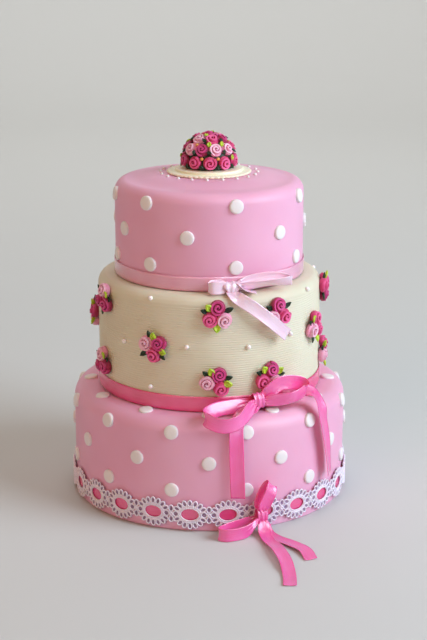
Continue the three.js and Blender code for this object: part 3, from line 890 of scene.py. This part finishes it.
def ribbon_stretch(stops, width, is_loop, seed, gathered, tip):
    """A loop or a tail as a small mesh with its UV map, in the bow's own frame. It is gathered to a
    share of its width at the knot, and a loop's tip loses a share of it."""
    centre = [Vector(place) * MM for place, _ in stops]
    across = [Vector(way) for _, way in stops]
    marks = [through(centre, i / LENGTH_STEPS) for i in range(LENGTH_STEPS + 1)]
    length = sum((after - before).length for before, after in zip(marks, marks[1:]))
    steps = max(24, round(length / FACE_LENGTH))
    shape = bmesh.new()
    grid = bmesh.ops.create_grid(shape, x_segments=steps, y_segments=ACROSS, size=1)
    places = {}
    for vert in grid["verts"]:
        t, side = (vert.co.x + 1) / 2, vert.co.y
        places[vert] = (t * length, (side + 1) / 2 * width * MM)
        ahead, behind = min(1.0, t + TANGENT_REACH), max(0.0, t - TANGENT_REACH)
        along = (through(centre, ahead) - through(centre, behind)).normalized()
        way = through(across, t)
        way = (way - along * way.dot(along)).normalized()
        face = along.cross(way)
        from_knot = min(t, 1 - t) if is_loop else t
        opened = smooth_between(from_knot, 0, GATHER_END)
        spread = gathered + (1 - gathered) * opened
        if is_loop:
            spread *= 1 - tip * (1 - smooth_between(abs(t - 0.5), 0, TIP_REACH))
        pleat = PLEAT_DEPTH * (1 - opened) * cos(PLEATS * pi * side)
        drift = noise.noise(Vector((t * length / RIPPLE["size"], side * 0.7, seed)))
        wave = RIPPLE["height"] * drift * opened
        bowl = CUP * width * MM * (side * side - 0.4) * opened
        half = width * MM / 2 * side * spread
        vert.co = through(centre, t) + way * half + face * (pleat + wave + bowl)
    map_ribbon(shape, places)
    return as_mesh("stretch", shape)


def knot_wrap(at, half, width, pinch, seed):
    """The short wrap over the middle of a bow: a ring of ribbon round the x axis. The pinch
    narrows its lower end."""
    shape = bmesh.new()
    grid = bmesh.ops.create_grid(shape, x_segments=40, y_segments=ACROSS, size=1)
    places = {}
    for vert in grid["verts"]:
        turn, side = pi * (vert.co.x + 1), vert.co.y
        places[vert] = (turn * half[1] * MM, (side + 1) / 2 * width * MM)
        up, out = cos(turn), sin(turn)
        fold = 1 + 0.09 * cos(2.5 * pi * side + 1.5 * sin(turn + seed)) - 0.16 * side**4
        narrow = 1 - pinch * smooth_between(-up, -0.6, 0.95)
        swell = Vector((side * narrow, up * fold, out * fold))
        vert.co = (Vector(at) + Vector(half) * swell) * MM
    map_ribbon(shape, places)
    bmesh.ops.remove_doubles(shape, verts=shape.verts, dist=SEAM_WELD)
    bmesh.ops.recalc_face_normals(shape, faces=shape.faces)
    return as_mesh("knot", shape)


def bow(name, angle, radius, width, knot, stretches, material, stands_for,
        gathered=0.6, tip=0.0):
    """Stretches are (is it a loop, stops), and the knot is its place, half sizes and pinch. The
    radius is part of each seed, so that no two bows ripple alike."""
    shape = bmesh.new()
    shape.loops.layers.uv.new("ribbon")
    place = wall_place(angle, radius * MM, 0)
    for seed, (is_loop, stops) in enumerate(stretches):
        at_knot = GATHERED_LOOP if is_loop else gathered
        stamp(shape, ribbon_stretch(stops, width, is_loop, seed + radius, at_knot, tip), place)
    stamp(shape, knot_wrap(*knot[:2], width, knot[2], radius), place)
    give_thickness(finish_piece(name, shape, [material], stands_for, THREAD_EDGES))


# %% The pale bow on the top tier
UP = (0, 1, 0)
TOP_BOW = [
    (True, [
        [(-1, 198.2, 4), UP], [(-9, 198.4, 2.4), UP], [(-16, 198.4, 3), UP], [(-19.5, 198.4, 6), UP],
        [(-16, 198.4, 9.4), UP], [(-8, 198.3, 8.6), UP], [(-1, 198.2, 6.4), UP],
    ]),
    (True, [
        [(1, 198.2, 4), UP], [(14, 200.4, 2.6), (-0.1, 1, -0.2)], [(32, 202.4, 2), (-0.1, 1, -0.3)],
        [(47, 200.4, 2.6), UP], [(48.4, 200.4, 6), (0, 0.9, 0.4)], [(32, 200.2, 9.4), (0, 0.65, 0.75)],
        [(14, 198.6, 9), (0, 0.8, 0.6)], [(1, 198.2, 6.4), UP],
    ]),
    (False, [
        [(-1, 196, 5.6), (1, 0, 0)], [(-0.6, 193.6, 11), (1, 0, 0)], [(3, 190.4, 16.6), (0.85, 0.5, 0)],
        [(14, 183.2, 20.4), (0.65, 0.75, -0.1)], [(29, 171.2, 21), (0.62, 0.75, -0.2)],
        [(45, 156.6, 12.4), (0.58, 0.75, -0.3)],
    ]),
    (False, [
        [(1, 198, 6.8), (0, 1, 0.5)], [(9, 195.4, 8), (0, 0.3, 1)], [(19, 193.6, 9.6), (-0.2, 0, 1)],
    ]),
]
TOP_KNOT = [(-0.6, 196.6, 6), (7.6, 5.6, 4.6), 0.7]
PALE_BOW = (linear(255, 224, 240), linear(252, 202, 226))
pale_10 = satin("pale_satin_10", *PALE_BOW, BOW_WIDTH["top"] * MM)
bow("top_satin_bow", BOW_ANGLE["top"], TOP["radius"] / MM, BOW_WIDTH["top"], TOP_KNOT, TOP_BOW,
    pale_10, ["top_bow"], gathered=0.85, tip=0.3)

# %% The hot pink bow on the ledge
MIDDLE_BOW = [
    (True, [
        [(-1, 105, 5), (0, 1, -0.2)], [(-16, 102.5, 5.4), (0, 0.9, -0.4)],
        [(-36, 102.3, 7.4), (0, 0.9, -0.4)], [(-50, 99.6, 15), (0, 0.95, -0.2)],
        [(-40, 94, 24.6), UP], [(-25, 95.8, 25.4), UP],
        [(-10, 103, 16), (0, 1, -0.3)], [(-1, 105, 8.6), (0, 1, -0.2)],
    ]),
    (True, [
        [(1, 105, 5), UP], [(8, 112, 10.4), (-0.3, 1, -0.1)], [(20, 118.6, 10.8), (-0.2, 1, -0.1)],
        [(37, 115.6, 8.6), (0.2, 1, 0)], [(40, 110.6, 13), (0.2, 1, 0)],
        [(26, 107.4, 18.4), (-0.1, 1, 0.4)], [(11, 105.6, 13.6), (0, 1, 0.3)], [(1, 105, 8.6), UP],
    ]),
    (False, [
        [(0, 103, 7.6), (1, 0, 0)], [(-8, 100, 11), (0.95, 0, 0.2)], [(-18, 97, 15.6), (0.97, 0, 0.2)],
        [(-25.2, 91, 21.4), (0.98, 0, 0.18)], [(-26.8, 80, 24.4), (0.98, 0, 0.2)],
        [(-26.6, 56, 25.6), (0.93, 0, 0.36)], [(-26.2, 31, 27), (0.84, 0, 0.54)],
    ]),
    (False, [
        [(1, 104, 6), UP], [(14, 103, 5.4), (0, 0.8, -0.6)], [(28, 104.6, 4.4), (-0.1, 0.7, -0.7)],
        [(41, 108, 5.4), (-0.3, 0.5, -0.8)], [(49, 106, 12.4), (0.4, 0.3, -0.8)],
        [(53, 96, 16.6), (0.8, 0, -0.5)], [(56.6, 80, 14.8), (0.8, 0, -0.6)],
        [(62, 56, 11.6), (0.74, 0, -0.67)], [(64.8, 33, 10.4), (0.64, 0, -0.77)],
    ]),
]
MIDDLE_KNOT = [(0, 105, 7), (5, 6.6, 4.6), 0.0]
HOT_BOW = (linear(255, 98, 184), linear(255, 68, 158))
hot_12 = satin("hot_satin_12", *HOT_BOW, BOW_WIDTH["middle"] * MM)
bow("middle_satin_bow", BOW_ANGLE["middle"], MIDDLE["radius"] / MM, BOW_WIDTH["middle"],
    MIDDLE_KNOT, MIDDLE_BOW, hot_12, ["middle_bow"])

# %% The hot pink bow on the lace
LOW_BOW = [
    (True, [
        [(0, 15, 3.4), (1, 0, 0)], [(-0.6, 25, 3), (0.94, -0.33, 0)], [(4.4, 37, 4), (0.76, -0.65, 0)],
        [(7.6, 41.4, 7.6), (0.7, -0.72, 0)], [(5.2, 35, 11), (0.8, -0.6, 0)],
        [(0.8, 24, 9.4), (0.94, -0.33, 0)], [(0.6, 15, 6.6), (1, 0, 0)],
    ]),
    (True, [
        [(-1, 13.4, 3.6), UP], [(-12, 8.4, 2.6), UP], [(-28, 6, 3.6), UP], [(-39, 5.8, 10), UP],
        [(-32, 5.8, 16), UP], [(-16, 6.4, 14), UP], [(-1, 13.4, 6.6), UP],
    ]),
    (False, [
        [(0, 13, 6.6), (1, 0, 0)], [(0, 8.6, 10.6), (1, 0, 0)], [(-1.4, 3.8, 16.4), (1, 0, 0.05)],
        [(-2.6, 2.2, 29), (1, 0, 0.05)], [(-3.8, 4.6, 50), (0.99, 0, 0.1)],
        [(-6.8, 4, 73), (0.97, 0, 0.22)], [(-11.6, 1, 92), (0.94, 0, 0.32)],
        [(-17.8, 0.8, 108), (0.92, 0, 0.38)],
    ]),
    (False, [
        [(0.6, 12, 5.8), (1, 0, 0)], [(1.8, 6, 8.2), (0.98, 0, -0.2)],
        [(3.2, 1.4, 13), (0.96, 0, -0.28)], [(6.6, 0.8, 24), (0.93, 0, -0.36)],
        [(12.6, 1.6, 39), (0.92, 0, -0.38)], [(17, 2.4, 55), (0.99, 0, -0.12)],
        [(16, 0.8, 70), (1, 0, 0.1)],
    ]),
]
LOW_KNOT = [(0, 14.6, 5), (4.6, 6.4, 4.2), 0.0]
LACE_FACE = 120.1
hot_10 = satin("hot_satin_10", *HOT_BOW, BOW_WIDTH["low"] * MM)
bow("low_satin_bow", BOW_ANGLE["low"], LACE_FACE, BOW_WIDTH["low"], LOW_KNOT, LOW_BOW,
    hot_10, ["low_bow"])

# %% [markdown]
# ## The lace
#
# The trim is a row of oval medallions. Each has two rings of thread round a hole, where the ribbon
# shows, a fan of narrow loops above them and one below, and a round loop at each side. Where two
# medallions meet, the side loops and two more loops form a flower round a small eye. A fine lilac
# net fills the loops.
#
# A loop of thread is a small circle spun once round, then drawn out to an oval. Loops and net are
# stamped into one flat medallion, which is bent to the curve of the cake and copied round it.

# %% Thread loops and net
LACE = {"medallions": 24, "middle": 15.25 * MM, "radius": 119.45 * MM}
THREAD_RADIUS = 0.64
NET_THICKNESS = 0.2 * MM


def thread_loop(half_width, half_height, thread=THREAD_RADIUS, steps=16):
    """A loop of thread in the plane z = 0, round the origin, its sizes in millimetres"""
    shape = bmesh.new()
    half_width, half_height, thread = half_width * MM, half_height * MM, thread * MM
    mean = (half_width + half_height) / 2
    ring = bmesh.ops.create_circle(shape, segments=6, radius=thread)
    stand = Matrix.Translation((mean, 0, 0)) @ Matrix.Rotation(pi / 2, 4, "X")
    bmesh.ops.transform(shape, matrix=stand, verts=ring["verts"])
    bmesh.ops.spin(shape, geom=list(shape.verts) + list(shape.edges), cent=(0, 0, 0), axis=(0, 0, 1),
                   angle=tau, steps=steps, use_merge=True)
    for vert in shape.verts:
        turn = atan2(vert.co.y, vert.co.x)
        vert.co.x += (half_width - mean) * cos(turn)
        vert.co.y += (half_height - mean) * sin(turn)
    bmesh.ops.recalc_face_normals(shape, faces=shape.faces)
    return as_mesh("thread_loop", shape)


def net_patch(half_width, half_height):
    """A thin oval of net in the plane z = 0, its sizes in millimetres"""
    half = NET_THICKNESS / 2
    shape = turned([(0, -half), (1, -half), (1, half), (0, half)], 14)
    bmesh.ops.scale(shape, vec=(half_width * MM, half_height * MM, 1), verts=shape.verts)
    return as_mesh("net_patch", shape)


lace_thread, shader = new_finish(
    "lace_thread", Roughness=0.7, Sheen_Weight=0.3, Sheen_Roughness=0.5, Subsurface_Weight=0.1,
    Subsurface_Scale=0.001,
)
twist = ramp(lace_thread, cloud(lace_thread, 0.0009), 0.25, 0.75)
white = blend_colours(lace_thread, twist, linear(252, 246, 252), linear(226, 208, 232))
join(lace_thread, white, shader, "Base Color")
relief(lace_thread, shader, cloud(lace_thread, 0.0005), 0.0002, 0.8)

lace_net, shader = new_finish("lace_net", Roughness=0.75, Sheen_Weight=0.2)
mesh_holes = ramp(lace_net, cloud(lace_net, 0.0008, 3), 0.4, 0.6)
lilac = blend_colours(lace_net, mesh_holes, linear(172, 144, 172), linear(118, 90, 124))
join(lace_net, lilac, shader, "Base Color")
relief(lace_net, shader, cloud(lace_net, 0.0006), 0.0002, 0.8)
print("lace: thread", 2 * THREAD_RADIUS, "mm thick,", LACE["medallions"], "medallions")

# %% One medallion, then the ring of them
# Half sizes in millimetres
RING_HALF = (7.9, 5.6)
BRAID_HALF = (9.2, 6.9)
RING_THREAD = 0.7
FAN = {"loops": 7, "from": 27, "step": 21, "half": (2.5, 1.7), "off_braid": 0.4}
SIDE_LOOP = {"at": 11.7, "half": (2.3, 2.3)}
FLOWER_LOOP = {"rise": 4.5, "half": (1.9, 2.6)}
FLOWER_EYE = {"half": (1.0, 1.0), "thread": 0.9}


def flat_place(x, y):
    """A place in the flat medallion, in millimetres"""
    return Matrix.Translation((x * MM, y * MM, 0))


def lace_medallion():
    """A flat medallion round the origin, x along the lace and y up it"""
    reach = pi * LACE["radius"] / LACE["medallions"] / MM
    fan, side, petal = [], [], []
    for half_turn in (0, 180):
        for i in range(FAN["loops"]):
            turn = radians(FAN["from"] + FAN["step"] * i + half_turn)
            off = FAN["half"][0] + FAN["off_braid"]
            root = flat_place((BRAID_HALF[0] + off) * cos(turn), (BRAID_HALF[1] + off) * sin(turn))
            fan.append(root @ Matrix.Rotation(turn, 4, "Z"))
    for sign in (-1, 1):
        side.append(flat_place(sign * SIDE_LOOP["at"], 0))
        petal.append(flat_place(reach, sign * FLOWER_LOOP["rise"]))
    flat = bmesh.new()
    for half in (RING_HALF, BRAID_HALF):
        stamp(flat, thread_loop(*half, RING_THREAD, 28), Matrix())
    for half, places in ((FAN["half"], fan), (SIDE_LOOP["half"], side), (FLOWER_LOOP["half"], petal)):
        loop, net = thread_loop(*half), net_patch(*half)
        for place in places:
            stamp(flat, loop, place, 0)
            stamp(flat, net, place, 1)
    eye = thread_loop(*FLOWER_EYE["half"], FLOWER_EYE["thread"], 10)
    stamp(flat, eye, flat_place(reach, 0), 0)
    return flat


def bend_round(shape, radius, height):
    """Bends a flat shape round the upright axis: x becomes an angle, y the height"""
    for vert in shape.verts:
        turn, reach = vert.co.x / radius, radius + vert.co.z
        vert.co = (reach * sin(turn), -reach * cos(turn), height + vert.co.y)


def copied_round(shape, count):
    """The shape spun to a number of places round the cake"""
    mesh = as_mesh("medallion", shape)
    ring = bmesh.new()
    for i in range(count):
        copy = mesh.copy()
        copy.transform(spin_z((i + 0.5) * 360 / count))
        ring.from_mesh(copy)
        bpy.data.meshes.remove(copy)
    return ring


medallion = lace_medallion()
bend_round(medallion, LACE["radius"], LACE["middle"])
lace = copied_round(medallion, LACE["medallions"])
finish_piece("lace_medallions", lace, [lace_thread, lace_net], ["lace_trim"],
             THREAD_EDGES)

# %% [markdown]
# ## Floor, backdrop and light
#
# The cake stands on a pale floor that sweeps up into a backdrop all round, so that no edge shows
# from any side. A large soft light from the right and front models the tiers, as a window does: the
# right sides are bright and the left sides fall into a warm shade. A weak warm fill and the sky lift
# the shadows, a weak light from above lifts the tops, and one behind the cake lights the backdrop.
#
# A small light above the front shows in gloss alone. It gives the satin a bright band where the
# ribbon turns up, and hardly shows on the matt icing.

# %% The stage
SWEEP = {"floor": 2.2, "rise": 0.9, "top": 2.6}
sweep_profile = [(0, 0), (0.6, 0), (1.4, 0), (SWEEP["floor"], 0)]
sweep_profile += arc(SWEEP["floor"], SWEEP["rise"], SWEEP["rise"], -80, 0, 8)
sweep_profile += [(SWEEP["floor"] + SWEEP["rise"], SWEEP["top"])]
sweep = turned(sweep_profile, 96)
bmesh.ops.reverse_faces(sweep, faces=sweep.faces)
stage_mesh = as_mesh("sweep", sweep)
stage_mesh.polygons.foreach_set("use_smooth", [True] * len(stage_mesh.polygons))
backdrop_finish, shader = new_finish("backdrop", Base_Color=linear(207, 209, 208), Roughness=0.8)
stage_mesh.materials.append(backdrop_finish)
stage = bpy.data.objects.new("sweep", stage_mesh)
bpy.context.scene.collection.objects.link(stage)
print("stage:", len(stage_mesh.polygons), "faces")


def soft_light(name, place, aim, size, watts, colour):
    """A round soft light, its place, aim and size in metres"""
    light = bpy.data.lights.new(name, "AREA")
    light.shape = "DISK"
    light.size = size
    light.energy = watts
    light.color = colour
    lamp = bpy.data.objects.new(name, light)
    lamp.location = place
    lamp.rotation_euler = (Vector(aim) - Vector(place)).to_track_quat("-Z", "Y").to_euler()
    bpy.context.scene.collection.objects.link(lamp)
    return lamp


soft_light("window", (1.6, -0.7, 1.1), (0, 0, 0.15), 1.5, 45, (0.76, 0.88, 1))
soft_light("warm_fill", (-1.1, -1.6, 1.0), (0, 0, 0.15), 1.4, 9.5, (1, 0.46, 0.16))
gleam = soft_light("gleam", (0.3, -0.9, 1.3), (0.02, -0.1, 0.1), 0.45, 7, (0.9, 0.88, 1))
gleam.visible_diffuse = False
soft_light("ceiling", (-0.2, 0.2, 2.1), (-0.2, 0, 0), 1.6, 9, (0.92, 0.98, 1))
soft_light("backdrop_light", (0, 1.5, 2.2), (0, 3.1, 0.85), 1.6, 28, (1, 1, 0.98))

world = bpy.data.worlds.new("soft_sky")
world.use_nodes = True
sky = world.node_tree.nodes["Background"]
sky.inputs["Color"].default_value = (1, 0.68, 0.44, 1)
sky.inputs["Strength"].default_value = 0.18
bpy.context.scene.world = world
